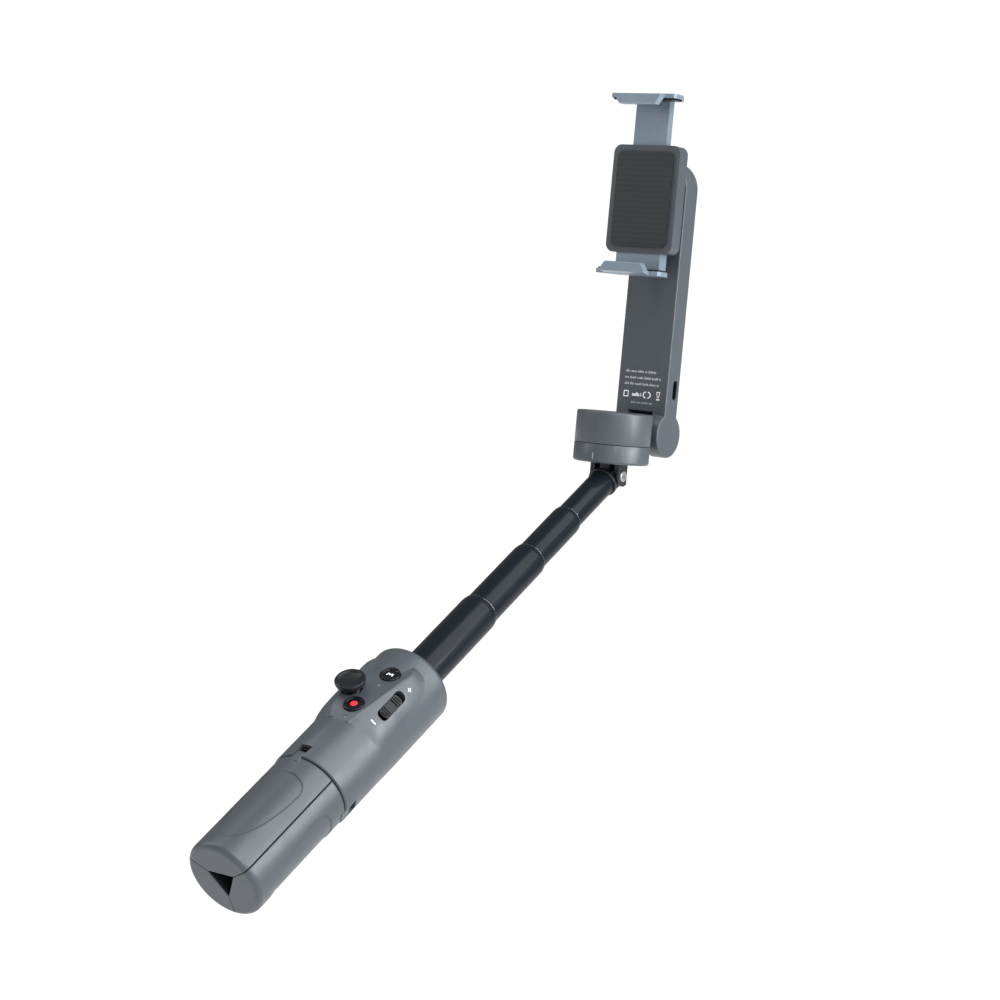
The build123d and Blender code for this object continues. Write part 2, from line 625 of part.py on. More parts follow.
with BuildPart() as pan_magnets:
    with BuildSketch(hd(9.8)):
        Circle(15.95)
        Circle(13.9, mode=Mode.SUBTRACT)
    extrude(amount=7.6)
pan_magnets.part.label = "pan_magnets"
export_step(pan_magnets.part, "parts/pan_magnets.step")

with BuildPart() as pan_shaft:
    with BuildSketch(hd(2.9)):
        Circle(1.5)
    extrude(amount=MOTOR_TOP - 0.9 - 2.9)
pan_shaft.part.label = "pan_shaft"
export_step(pan_shaft.part, "parts/pan_shaft.step")

# ================================================================= folding arm
with BuildPart() as arm_shell:
    with BuildSketch(hs()) as prof:
        with Locations((FOLD_Y, FOLD_Z)):
            Circle(FOLD_R)
        with Locations(((ARM_Y0 + ARM_Y1) / 2, (FOLD_Z + ROLL_Z + ARM_HALF) / 2)):
            Rectangle(ARM_Y1 - ARM_Y0, ROLL_Z + ARM_HALF - FOLD_Z)
        neck = [v for v in prof.vertices() if 18 < (v.Z - HZ) < 30]
        fillet(neck, 3.5)
    extrude(amount=ARM_HALF, both=True)
    with BuildSketch(hf(60)):
        with Locations((0, 60)):
            Rectangle(ARM_HALF * 2, 2 * (ROLL_Z - 60))
        with Locations((0, ROLL_Z)):
            Circle(ARM_HALF)
    extrude(amount=70, mode=Mode.INTERSECT)
    outer = arm_shell.faces().sort_by(Axis.X)
    fillet(ShapeList(outer[0].edges() + outer[-1].edges()), 0.7)
    # fork slot
    with BuildSketch(hs()):
        with Locations((FOLD_Y, FOLD_Z)):
            Circle(KNUCKLE_R + 0.35)
        with Locations((FOLD_Y - 20, 5.2)):
            Rectangle(40, 40)
        with Locations((FOLD_Y + 20, -0.7)):
            Rectangle(40, 40)
    extrude(amount=KNUCKLE_HALF + 0.3, both=True, mode=Mode.SUBTRACT)
    # inside
    with BuildSketch(hf(40)):
        with Locations((0, (28.0 + ROLL_Z) / 2)):
            Rectangle(24.2, ROLL_Z - 28.0)
        with Locations((0, ROLL_Z)):
            Circle(12.1)
    extrude(amount=40 - (ARM_Y0 + 1.6), mode=Mode.SUBTRACT)
    with BuildSketch(hf(40)):
        with Locations((0, (27.2 + ROLL_Z) / 2)):
            Rectangle(25.4, ROLL_Z - 27.2)
        with Locations((0, ROLL_Z)):
            Circle(12.7)
    extrude(amount=40 - (ARM_Y1 - 1.8), mode=Mode.SUBTRACT)
    # roll post
    with BuildSketch(hf(28.0)):
        with Locations((0, ROLL_Z)):
            Circle(4.6)
    extrude(amount=28.0 - 16.4)
    with BuildSketch(hf(30.0)):
        with Locations((0, ROLL_Z)):
            Circle(3.0)
    extrude(amount=16, mode=Mode.SUBTRACT)
    # hinge pin bore, blind at both ends
    with BuildSketch(hs()):
        with Locations((FOLD_Y, FOLD_Z)):
            Circle(2.02)
    extrude(amount=12.2, both=True, mode=Mode.SUBTRACT)
    # charging socket mouth
    with BuildSketch(hs(8.0)):
        with Locations((28.6, 35.8)):
            SlotOverall(9.4, 3.6, rotation=90)
    extrude(amount=10, mode=Mode.SUBTRACT)
arm_shell.part.label = "arm_shell"
export_step(arm_shell.part, "parts/arm_shell.step")

with BuildPart() as arm_cover:
    with BuildSketch(hf(ARM_Y1)):
        with Locations((0, (27.35 + ROLL_Z) / 2)):
            Rectangle(25.1, ROLL_Z - 27.35)
        with Locations((0, ROLL_Z)):
            Circle(12.55)
    extrude(amount=1.7)
    for z in (31.0, 118.0):
        with BuildSketch(hf(ARM_Y1)):
            with Locations((-9.5, z), (9.5 if z > 100 else -9.5, z)):
                Circle(1.5)
        extrude(amount=1.0, mode=Mode.SUBTRACT)
        with BuildSketch(hf(ARM_Y1)):
            with Locations((-9.5, z), (9.5 if z > 100 else -9.5, z)):
                Circle(0.8)
        extrude(amount=3.0, mode=Mode.SUBTRACT)
arm_cover.part.label = "arm_cover"
export_step(arm_cover.part, "parts/arm_cover.step")

with BuildPart() as cover_screws:
    for x, z in ((-9.5, 31.0), (-9.5, 118.0), (9.5, 118.0)):
        with BuildSketch(hf(ARM_Y1 - 0.15)):
            with Locations((x, z)):
                Circle(1.4)
        extrude(amount=0.8)
        with BuildSketch(hf(ARM_Y1 - 0.9)):
            with Locations((x, z)):
                Circle(0.75)
        extrude(amount=4.2)
cover_screws.part.label = "cover_screws"
export_step(cover_screws.part, "parts/cover_screws.step")

with BuildPart() as fold_pin:
    with BuildSketch(hs()):
        with Locations((FOLD_Y, FOLD_Z)):
            Circle(2.0)
    extrude(amount=12.1, both=True)
fold_pin.part.label = "fold_pin"
export_step(fold_pin.part, "parts/fold_pin.step")

with BuildPart() as main_board:
    with BuildSketch(hf(26.9)):
        with Locations((0.6, 38.4)):
            Rectangle(21.6, 19.0)
    extrude(amount=1.0)
    with BuildSketch(hf(25.9)):
        with Locations((-3.0, 40.0)):
            Rectangle(6.0, 6.0)
        with Locations((5.5, 42.0)):
            Rectangle(4.0, 5.0)
    extrude(amount=1.1)
main_board.part.label = "main_board"
export_step(main_board.part, "parts/main_board.step")

with BuildPart() as charge_socket:
    with BuildSketch(hs(6.0)):
        with Locations((28.6, 35.8)):
            SlotOverall(9.0, 3.2, rotation=90)
    extrude(amount=7.4)
    with BuildSketch(hs(7.0)):
        with Locations((28.6, 35.8)):
            SlotOverall(8.4, 2.6, rotation=90)
    extrude(amount=8, mode=Mode.SUBTRACT)
    with BuildSketch(hs(7.0)):
        with Locations((28.6, 35.8)):
            Rectangle(0.7, 6.4)
    extrude(amount=5.2)
charge_socket.part.label = "charge_socket"
export_step(charge_socket.part, "parts/charge_socket.step")

with BuildPart() as battery:
    with BuildSketch(hf(30.6)):
        with Locations((0, 80.5)):
            RectangleRounded(19.0, 62.0, 1.5)
    extrude(amount=6.4)
battery.part.label = "battery"
export_step(battery.part, "parts/battery.step")

with BuildPart() as roll_stator:
    with BuildSketch(hf(21.4)):
        with Locations((0, ROLL_Z)):
            Circle(10.4)
            Circle(4.65, mode=Mode.SUBTRACT)
            with PolarLocations(7.7, 9, start_angle=10):
                SlotCenterToCenter(2.2, 1.7, mode=Mode.SUBTRACT)
            with PolarLocations(9.9, 9, start_angle=10):
                Rectangle(2.4, 0.8, mode=Mode.SUBTRACT)
    extrude(amount=4.6)
roll_stator.part.label = "roll_stator"
export_step(roll_stator.part, "parts/roll_stator.step")

with BuildPart() as roll_bearings:
    for y in (27.6, 19.4):
        with BuildSketch(hf(y)):
            with Locations((0, ROLL_Z)):
                Circle(2.98)
                Circle(1.5 + FIT, mode=Mode.SUBTRACT)
        extrude(amount=2.4)
roll_bearings.part.label = "roll_bearings"
export_step(roll_bearings.part, "parts/roll_bearings.step")

# ================================================================= roll rotor and clamp
with BuildPart() as roll_cup:
    with BuildSketch(hf(21.6)):
        with Locations((0, ROLL_Z)):
            Circle(12.8)
    extrude(amount=8.0)
    with BuildSketch(hf(21.7)):
        with Locations((0, ROLL_Z)):
            Circle(12.0)
    extrude(amount=6.5, mode=Mode.SUBTRACT)
    with BuildSketch(hf(21.7)):
        with Locations((0, ROLL_Z)):
            Circle(1.51)
    extrude(amount=7.4, mode=Mode.SUBTRACT)
roll_cup.part.label = "roll_cup"
export_step(roll_cup.part, "parts/roll_cup.step")

with BuildPart() as roll_magnets:
    with BuildSketch(hf(21.2)):
        with Locations((0, ROLL_Z)):
            Circle(11.95)
            Circle(10.8, mode=Mode.SUBTRACT)
    extrude(amount=5.0)
roll_magnets.part.label = "roll_magnets"
export_step(roll_magnets.part, "parts/roll_magnets.step")

with BuildPart() as roll_shaft:
    with BuildSketch(hf(29.0)):
        with Locations((0, ROLL_Z)):
            Circle(1.5)
    extrude(amount=29.0 - 14.5)
roll_shaft.part.label = "roll_shaft"
export_step(roll_shaft.part, "parts/roll_shaft.step")

BODY_LOW, BODY_TOP = 98.0, 148.0
with BuildPart() as clamp_body:
    with BuildSketch(hf(13.5)):
        with Locations((0, (BODY_LOW + BODY_TOP) / 2)):
            RectangleRounded(36.0, BODY_TOP - BODY_LOW, 4.0)
    extrude(amount=7.0)
    with BuildSketch(hf(12.4)):
        with Locations((0, (BODY_LOW + 2 + BODY_TOP + 4) / 2)):
            Rectangle(27.2, BODY_TOP + 4 - BODY_LOW - 2)
    extrude(amount=4.5, mode=Mode.SUBTRACT)
    for x in (-5.0, 5.0):
        with BuildSketch(hd(BODY_LOW + 0.5)):
            with Locations((x, 10.15)):
                Circle(1.22)
        extrude(amount=3, mode=Mode.SUBTRACT)
clamp_body.part.label = "clamp_body"
export_step(clamp_body.part, "parts/clamp_body.step")

with BuildPart() as guide_rods:
    for x in (-5.0, 5.0):
        with BuildSketch(hd(BODY_LOW + 0.6)):
            with Locations((x, 10.15)):
                Circle(1.2)
        extrude(amount=146.0 - BODY_LOW - 0.6)
guide_rods.part.label = "guide_rods"
export_step(guide_rods.part, "parts/guide_rods.step")

with BuildPart() as back_pad:
    with BuildSketch(hf(6.5)):
        with Locations((0, (BODY_LOW + BODY_TOP) / 2)):
            RectangleRounded(30.0, 44.0, 3.0)
    extrude(amount=6.5 - PHONE_BACK)
back_pad.part.label = "back_pad"
export_step(back_pad.part, "parts/back_pad.step")


with BuildPart() as lower_jaw:
    with BuildSketch(hd(JAW_LOW - 0.8 - 2.0)):
        with BuildLine():
            Polyline((-JAW_HALF, -0.4), (1.0 - JAW_HALF, -1.5), (JAW_HALF - 1.0, -1.5), (JAW_HALF, -0.4), (JAW_HALF, 5.2), (13.0, 13.5), (-13.0, 13.5), (-JAW_HALF, 5.2), close=True)
        make_face()
    extrude(amount=2.0)
    with BuildSketch(hs()):
        Polygon((-0.5, JAW_LOW - 2.8), (-6.5, JAW_LOW - 1.9), (-6.5, JAW_LOW + 2.1), (-5.9, JAW_LOW + 2.6), (-2.35, JAW_LOW + 2.6), (-2.35, JAW_LOW - 0.8), (1.0, JAW_LOW - 0.8), (1.0, JAW_LOW - 2.8), align=None)
    extrude(amount=12.0, both=True)
    with BuildSketch(hd(JAW_LOW - 0.8)):
        with Locations((0, 10.0)):
            Rectangle(24.0, 6.0)
    extrude(amount=BODY_LOW - JAW_LOW + 0.8)
    for s in (-1, 1):
        with BuildSketch(hf(-0.4)):
            Polygon((s * 12.05, JAW_LOW - 1.0), (s * 9.4, JAW_LOW + 2.8), (s * 13.5, JAW_LOW + 2.8), (s * 13.5, JAW_LOW - 1.0), align=None)
        extrude(amount=8, mode=Mode.SUBTRACT)
lower_jaw.part.label = "lower_jaw"
export_step(lower_jaw.part, "parts/lower_jaw.step")

with BuildPart() as lower_pad:
    with BuildSketch(hd(JAW_LOW - 0.8)):
        with Locations((0, 2.75)):
            Rectangle(33.0, 6.3)
    extrude(amount=0.8)
lower_pad.part.label = "lower_pad"
export_step(lower_pad.part, "parts/lower_pad.step")

with BuildPart() as upper_jaw:
    with BuildSketch(hd(JAW_HIGH + 0.8)):
        with BuildLine():
            Polyline((-JAW_HALF, -0.4), (1.0 - JAW_HALF, -1.5), (JAW_HALF - 1.0, -1.5), (JAW_HALF, -0.4), (JAW_HALF, 5.2), (13.0, 13.5), (-13.0, 13.5), (-JAW_HALF, 5.2), close=True)
        make_face()
    extrude(amount=2.0)
    with BuildSketch(hs()):
        Polygon((-0.5, JAW_HIGH + 2.8), (-6.5, JAW_HIGH + 1.9), (-6.5, JAW_HIGH - 2.1), (-5.9, JAW_HIGH - 2.6), (-2.35, JAW_HIGH - 2.6), (-2.35, JAW_HIGH + 0.8), (1.0, JAW_HIGH + 0.8), (1.0, JAW_HIGH + 2.8), align=None)
    extrude(amount=12.0, both=True)
    for s in (-1, 1):
        with BuildSketch(hf(-0.4)):
            Polygon((s * 12.05, JAW_HIGH + 1.0), (s * 9.4, JAW_HIGH - 2.8), (s * 13.5, JAW_HIGH - 2.8), (s * 13.5, JAW_HIGH + 1.0), align=None)
        extrude(amount=8, mode=Mode.SUBTRACT)
    # sliding neck
    with BuildSketch(hf(12.15)):
        with Locations((0, (120.0 + JAW_HIGH + 0.8) / 2)):
            Rectangle(18.0, JAW_HIGH + 0.8 - 120.0)
        with Locations((0, 141.0)):
            Rectangle(26.4, 2.4)
    extrude(amount=4.0)
    for x in (-5.0, 5.0):
        with BuildSketch(hd(119.0)):
            with Locations((x, 10.15)):
                Circle(1.2 + FIT)
        extrude(amount=48.0, mode=Mode.SUBTRACT)
upper_jaw.part.label = "upper_jaw"
export_step(upper_jaw.part, "parts/upper_jaw.step")

with BuildPart() as upper_pad:
    with BuildSketch(hd(JAW_HIGH)):
        with Locations((0, 2.75)):
            Rectangle(33.0, 6.3)
    extrude(amount=0.8)
upper_pad.part.label = "upper_pad"
export_step(upper_pad.part, "parts/upper_pad.step")

with BuildPart() as clamp_springs:
    # each coil's outer envelope, with its bore
    for x in (-11.4, 11.4):
        with BuildSketch(hd(BODY_LOW + 2.1)):
            with Locations((x, 10.15)):
                Circle(1.65)
                Circle(1.1, mode=Mode.SUBTRACT)
        extrude(amount=37.6)
clamp_springs.part.label = "clamp_springs"
export_step(clamp_springs.part, "parts/clamp_springs.step")
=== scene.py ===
import json
import math
import random

import bmesh
import bpy
from mathutils import Matrix, Vector
from mathutils.bvhtree import BVHTree


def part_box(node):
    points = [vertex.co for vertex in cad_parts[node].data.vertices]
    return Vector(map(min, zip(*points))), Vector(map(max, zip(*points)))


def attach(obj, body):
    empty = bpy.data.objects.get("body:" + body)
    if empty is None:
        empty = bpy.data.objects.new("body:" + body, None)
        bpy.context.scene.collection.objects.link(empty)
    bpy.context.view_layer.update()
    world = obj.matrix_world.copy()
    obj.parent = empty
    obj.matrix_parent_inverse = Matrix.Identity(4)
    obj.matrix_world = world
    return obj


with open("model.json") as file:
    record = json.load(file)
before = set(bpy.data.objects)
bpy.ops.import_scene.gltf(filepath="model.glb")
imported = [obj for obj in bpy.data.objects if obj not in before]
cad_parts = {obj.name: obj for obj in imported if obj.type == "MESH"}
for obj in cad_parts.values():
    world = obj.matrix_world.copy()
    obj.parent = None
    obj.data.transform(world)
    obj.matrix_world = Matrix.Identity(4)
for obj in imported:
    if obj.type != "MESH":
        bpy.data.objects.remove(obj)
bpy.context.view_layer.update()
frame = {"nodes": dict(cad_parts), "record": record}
nodes = frame["nodes"]

# ---------------------------------------------------------------- frames, metres
LEAN = math.radians(57.3)
SN, CS = math.sin(LEAN), math.cos(LEAN)
U = Vector((0, SN, CS))
V = Vector((0, CS, -SN))
EX = Vector((1, 0, 0))
HEAD = Vector((0, 0.222 * SN, 0.222 * CS + 0.00561))


# ---------------------------------------------------------------- materials
def mat(name):
    m = bpy.data.materials.new(name)
    m.use_nodes = True
    nt = m.node_tree
    for n in list(nt.nodes):
        nt.nodes.remove(n)
    out = nt.nodes.new("ShaderNodeOutputMaterial")
    b = nt.nodes.new("ShaderNodeBsdfPrincipled")
    nt.links.new(b.outputs[0], out.inputs[0])
    return m, nt, b


def ramp(nt, src, lo, hi, a, b):
    r = nt.nodes.new("ShaderNodeMapRange")
    r.inputs["From Min"].default_value = lo
    r.inputs["From Max"].default_value = hi
    r.inputs["To Min"].default_value = a
    r.inputs["To Max"].default_value = b
    nt.links.new(src, r.inputs["Value"])
    return r.outputs[0]


def noise(nt, scale, detail=3.0, rough=0.5, coord=None):
    if coord is None:
        tc = nt.nodes.new("ShaderNodeTexCoord")
        coord = tc.outputs["Object"]
    n = nt.nodes.new("ShaderNodeTexNoise")
    n.inputs["Scale"].default_value = scale
    n.inputs["Detail"].default_value = detail
    n.inputs["Roughness"].default_value = rough
    nt.links.new(coord, n.inputs["Vector"])
    return n.outputs["Fac"]


def mix(nt, fac, c1, c2):
    m = nt.nodes.new("ShaderNodeMix")
    m.data_type = "RGBA"
    if isinstance(fac, float):
        m.inputs[0].default_value = fac
    else:
        nt.links.new(fac, m.inputs[0])
    m.inputs[6].default_value = (*c1, 1)
    m.inputs[7].default_value = (*c2, 1)
    return m.outputs[2]


def bump(nt, b, height, strength, distance):
    n = nt.nodes.new("ShaderNodeBump")
    n.inputs["Strength"].default_value = strength
    n.inputs["Distance"].default_value = distance
    nt.links.new(height, n.inputs["Height"])
    nt.links.new(n.outputs[0], b.inputs["Normal"])


def satin_plastic(name, base, rough=0.42, grain=1.0, metallic=0.0, specular=0.5):
    """Fine-grained moulded plastic: pigment drift, textured grain, worn-smooth patches."""
    m, nt, b = mat(name)
    b.inputs["Specular IOR Level"].default_value = specular
    broad = noise(nt, 35.0, 4.0, 0.6)
    col = mix(nt, ramp(nt, broad, 0.3, 0.7, 0.0, 1.0), tuple(c * 0.95 for c in base), tuple(min(1, c * 1.05) for c in base))
    nt.links.new(col, b.inputs["Base Color"])
    wear = noise(nt, 90.0, 5.0, 0.65)
    nt.links.new(ramp(nt, wear, 0.3, 0.7, rough - 0.05, rough + 0.06), b.inputs["Roughness"])
    b.inputs["Metallic"].default_value = metallic
    fine = noise(nt, 5200.0, 2.0, 0.5)
    bump(nt, b, fine, 0.10 * grain, 0.00004)
    return m


def anodised(name, base, rough, metallic, streak_axis=None, grain=0.2):
    m, nt, b = mat(name)
    tc = nt.nodes.new("ShaderNodeTexCoord")
    mp = nt.nodes.new("ShaderNodeMapping")
    nt.links.new(tc.outputs["Object"], mp.inputs["Vector"])
    mp.inputs["Rotation"].default_value = (LEAN, 0, 0)
    mp.inputs["Scale"].default_value = (1, 1, 0.03) if streak_axis == "pole" else (1, 1, 1)
    streak = noise(nt, 1500.0 if streak_axis == "pole" else 900.0, 3.0, 0.6, mp.outputs[0])
    broad = noise(nt, 60.0, 4.0, 0.6)
    col = mix(nt, ramp(nt, broad, 0.3, 0.7, 0.0, 1.0), tuple(c * 0.85 for c in base), tuple(min(1, c * 1.15) for c in base))
    nt.links.new(col, b.inputs["Base Color"])
    b.inputs["Metallic"].default_value = metallic
    nt.links.new(ramp(nt, streak, 0.3, 0.7, rough * 0.8, rough * 1.25), b.inputs["Roughness"])
    bump(nt, b, streak, grain, 0.00001)
    return m


def rubber(name, base, rough=0.6):
    m, nt, b = mat(name)
    b.inputs["Specular IOR Level"].default_value = 0.22
    broad = noise(nt, 120.0, 4.0, 0.6)
    nt.links.new(mix(nt, broad, tuple(c * 0.8 for c in base), tuple(c * 1.3 for c in base)), b.inputs["Base Color"])
    nt.links.new(ramp(nt, broad, 0.3, 0.7, rough - 0.08, rough + 0.08), b.inputs["Roughness"])
    bump(nt, b, noise(nt, 3500.0, 2.0), 0.2, 0.00004)
    return m


def metal(name, base, rough=0.3):
    m, nt, b = mat(name)
    tc = nt.nodes.new("ShaderNodeTexCoord")
    mp = nt.nodes.new("ShaderNodeMapping")
    nt.links.new(tc.outputs["Object"], mp.inputs["Vector"])
    mp.inputs["Scale"].default_value = (1, 0.05, 1)
    brushed = noise(nt, 3000.0, 3.0, 0.6, mp.outputs[0])
    nt.links.new(mix(nt, brushed, tuple(c * 0.85 for c in base), base), b.inputs["Base Color"])
    b.inputs["Metallic"].default_value = 1.0
    nt.links.new(ramp(nt, brushed, 0.3, 0.7, rough * 0.8, rough * 1.2), b.inputs["Roughness"])
    bump(nt, b, brushed, 0.15, 0.00001)
    return m


GREY = satin_plastic("grey_plastic", (0.045, 0.053, 0.064), 0.40)
BLACKP = satin_plastic("black_plastic", (0.010, 0.011, 0.013), 0.35, 1.0, 0.0, 0.3)
POLE = anodised("pole_black", (0.005, 0.007, 0.011), 0.36, 0.0, "pole", 0.15)
pole_shader = [x for x in POLE.node_tree.nodes if x.type == "BSDF_PRINCIPLED"][0]
pole_shader.inputs["Specular IOR Level"].default_value = 0.08
pole_shader.inputs["Coat Weight"].default_value = 0.13
pole_shader.inputs["Coat Roughness"].default_value = 0.10
JAW = satin_plastic("jaw_metal", (0.20, 0.255, 0.31), 0.33, 0.6, 0.45)
HINGE = satin_plastic("hinge_black", (0.009, 0.010, 0.013), 0.24, 1.0, 0.0, 0.3)
STEEL = metal("steel", (0.72, 0.73, 0.75), 0.24)
IRON = metal("stator_iron", (0.30, 0.20, 0.12), 0.45)
MAGNET = metal("magnet", (0.60, 0.60, 0.62), 0.2)
BOARD = satin_plastic("board_green", (0.015, 0.10, 0.045), 0.35)
# darkened metal for the charge socket: the metal is real, its darkness is painted shade for the inside of the slot
SOCKET = metal("socket_metal", (0.10, 0.105, 0.115), 0.35)
# bright metal for the tube mouth rings: a painted highlight for the rolled black tube ends, shaded by the lamps as
# metal
MOUTH_HIGHLIGHT = metal("mouth_rim_highlight", (0.42, 0.44, 0.47), 0.30)
CELL = metal("cell", (0.55, 0.56, 0.58), 0.4)
RUBBER = rubber("black_rubber", (0.006, 0.007, 0.009), 0.36)
PAD, pat, pab = mat("ribbed_pad")
ptc = pat.nodes.new("ShaderNodeTexCoord")
wave = pat.nodes.new("ShaderNodeTexWave")
wave.bands_direction = "Z"
wave.inputs["Scale"].default_value = 130.0
wave.inputs["Distortion"].default_value = 0.3
pat.links.new(ptc.outputs["Object"], wave.inputs["Vector"])
pat.links.new(mix(pat, noise(pat, 200.0), (0.005, 0.006, 0.007), (0.008, 0.009, 0.011)), pab.inputs["Base Color"])
pat.links.new(ramp(pat, noise(pat, 160.0, 4.0), 0.3, 0.7, 0.5, 0.62), pab.inputs["Roughness"])
bump(pat, pab, wave.outputs["Fac"], 0.5, 0.0002)
KEY = satin_plastic("key_black", (0.004, 0.005, 0.007), 0.22, 0.5, 0.0, 0.22)
RED, rnt, rb = mat("red")
rb.inputs["Roughness"].default_value = 0.35
rnt.links.new(mix(rnt, noise(rnt, 400.0), (0.72, 0.015, 0.02), (0.85, 0.03, 0.04)), rb.inputs["Base Color"])
LIGHT, lnt, lb = mat("light_white")
lb.inputs["Roughness"].default_value = 0.4
lnt.links.new(mix(lnt, noise(lnt, 700.0), (0.10, 0.11, 0.125), (0.14, 0.15, 0.165)), lb.inputs["Base Color"])
MARK, mnt, mb = mat("white_mark")
mb.inputs["Roughness"].default_value = 0.5
mnt.links.new(mix(mnt, noise(mnt, 900.0), (0.72, 0.73, 0.75), (0.85, 0.86, 0.88)), mb.inputs["Base Color"])
PRINT, pnt, pb = mat("grey_print")
pb.inputs["Roughness"].default_value = 0.5
pnt.links.new(mix(pnt, noise(pnt, 900.0), (0.30, 0.31, 0.33), (0.40, 0.41, 0.43)), pb.inputs["Base Color"])

by_slot = {"grey_plastic": GREY, "black_plastic": BLACKP, "pole_black": POLE, "jaw_metal": JAW, "hinge_metal": HINGE, "steel": STEEL,
           "stator_iron": IRON, "magnet": MAGNET, "board_green": BOARD, "cell": CELL, "black_rubber": RUBBER, "key_black": KEY,
           "red": RED, "light_white": LIGHT}
for sp in frame["record"]["subparts"]:
    o = nodes[sp["node"]]
    o.data.materials.clear()
    o.data.materials.append(by_slot[sp["material_slot"]])
nodes["back_pad"].data.materials[0] = PAD
# charge socket in darkened metal: painted shade for the inside of the slot
nodes["charge_socket"].data.materials[0] = SOCKET


def dark_where(name, base_material, node, rule):
    """The node's own finish, turned near-black where rule(nt, x, y, z) is 1; on the legs this near-black is painted
    shade.
    """
    m = base_material.copy()
    m.name = name
    nt = m.node_tree
    b = [x for x in nt.nodes if x.type == "BSDF_PRINCIPLED"][0]
    tc = nt.nodes.new("ShaderNodeTexCoord")
    sep = nt.nodes.new("ShaderNodeSeparateXYZ")
    nt.links.new(tc.outputs["Object"], sep.inputs[0])
    fac = rule(nt, sep.outputs[0], sep.outputs[1], sep.outputs[2])
    k = nt.nodes.new("ShaderNodeMix")
    k.data_type = "RGBA"
    nt.links.new(fac, k.inputs[0])
    nt.links.new(b.inputs["Base Color"].links[0].from_socket, k.inputs[6])
    k.inputs[7].default_value = (0.006, 0.007, 0.009, 1)
    nt.links.new(k.outputs[2], b.inputs["Base Color"])
    nodes[node].data.materials[0] = m


def calc(nt, op, a, b=None):
    n = nt.nodes.new("ShaderNodeMath")
    n.operation = op
    for i, v in enumerate((a, b)):
        if v is None:
            continue
        if isinstance(v, (int, float)):
            n.inputs[i].default_value = v
        else:
            nt.links.new(v, n.inputs[i])
    return n.outputs[0]


def painted_shade_faces(angle):
    """Painted shade for a leg's flat inner faces and pocket: the faces closer to the grip's axis than its outer wall,
    measured along the leg's own direction.
    """
    a = math.radians(angle)
    nx, nv = math.sin(a), -math.cos(a)

    def rule(nt, x, y, z):
        v = calc(nt, "SUBTRACT", calc(nt, "MULTIPLY", y, CS), calc(nt, "MULTIPLY", z, SN))
        d = calc(nt, "ADD", calc(nt, "MULTIPLY", x, nx), calc(nt, "MULTIPLY", v, nv))
        return calc(nt, "LESS_THAN", d, LEG_CHORD + 0.00002)
    return rule


LEG_CHORD = 0.0039
# painted shade: each leg's inner faces and pocket are coloured near-black for the shadow in the hollow between the legs
for name, angle in (("leg_front", 0), ("leg_right", 120), ("leg_left", 240)):
    dark_where(name + "_grey", GREY, name, painted_shade_faces(angle))
dark_where("pan_base_grey", GREY, "pan_base", lambda nt, x, y, z: calc(nt, "LESS_THAN", z, HEAD.z - 0.0001))

# moulded and machined edges are slightly rounded and catch the light
def rounded_shading(node, radius):
    """Rounds the look of a node's small edges in its finish, so that they catch the light."""
    nt = nodes[node].data.materials[0].node_tree
    b = [x for x in nt.nodes if x.type == "BSDF_PRINCIPLED"][0]
    bv = nt.nodes.new("ShaderNodeBevel")
    bv.samples = 8
    bv.inputs["Radius"].default_value = radius
    link = b.inputs["Normal"].links[0]
    nt.links.new(bv.outputs[0], link.from_node.inputs["Normal"])


for name in ("leg_front", "leg_right", "leg_left"):
    rounded_shading(name, 0.0008)


def soften(node, width, angle=28, segments=2):
    o = nodes[node]
    w = o.modifiers.new("join", "WELD")
    w.merge_threshold = 0.000001
    b = o.modifiers.new("edge", "BEVEL")
    b.width = width
    b.segments = segments
    b.limit_method = "ANGLE"
    b.angle_limit = math.radians(angle)
    b.use_clamp_overlap = True
    b.harden_normals = True


for name in ("upper_jaw", "lower_jaw"):
    soften(name, 0.0003, segments=3)
for name in ("pan_cup", "pan_base", "arm_shell"):
    soften(name, 0.00015)
soften("grip_shell", 0.0009, angle=12, segments=4)

# ---------------------------------------------------------------- painted highlight at the tube mouths: bright metal rings standing for the light caught by the rolled ends
def ring(name, body, radius, height, minor, material, around=120, tube=10):
    bm = bmesh.new()
    loops = []
    for i in range(around):
        a = 2 * math.pi * i / around
        n = EX * math.cos(a) + V * math.sin(a)
        loops.append([bm.verts.new(n * (radius + minor * math.cos(b)) + U * (height + minor * math.sin(b))) for b in (2 * math.pi * j / tube for j in range(tube))])
    for i in range(around):
        for j in range(tube):
            bm.faces.new((loops[i][j], loops[(i + 1) % around][j], loops[(i + 1) % around][(j + 1) % tube], loops[i][(j + 1) % tube]))
    bmesh.ops.recalc_face_normals(bm, faces=bm.faces)
    me = bpy.data.meshes.new(name)
    bm.to_mesh(me)
    bm.free()
    for f in me.polygons:
        f.use_smooth = True
    ob = bpy.data.objects.new(name, me)
    bpy.context.scene.collection.objects.link(ob)
    me.materials.append(material)
    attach(ob, body)


for letter, radius, top in (("a", 8.90, 110.0), ("b", 8.05, 151.7), ("c", 7.15, 184.2)):
    ring("mouth_highlight_ring_" + letter, "section_" + letter, (radius - 0.52) * 0.001, (top - 0.02) * 0.001, 0.00012, MOUTH_HIGHLIGHT)

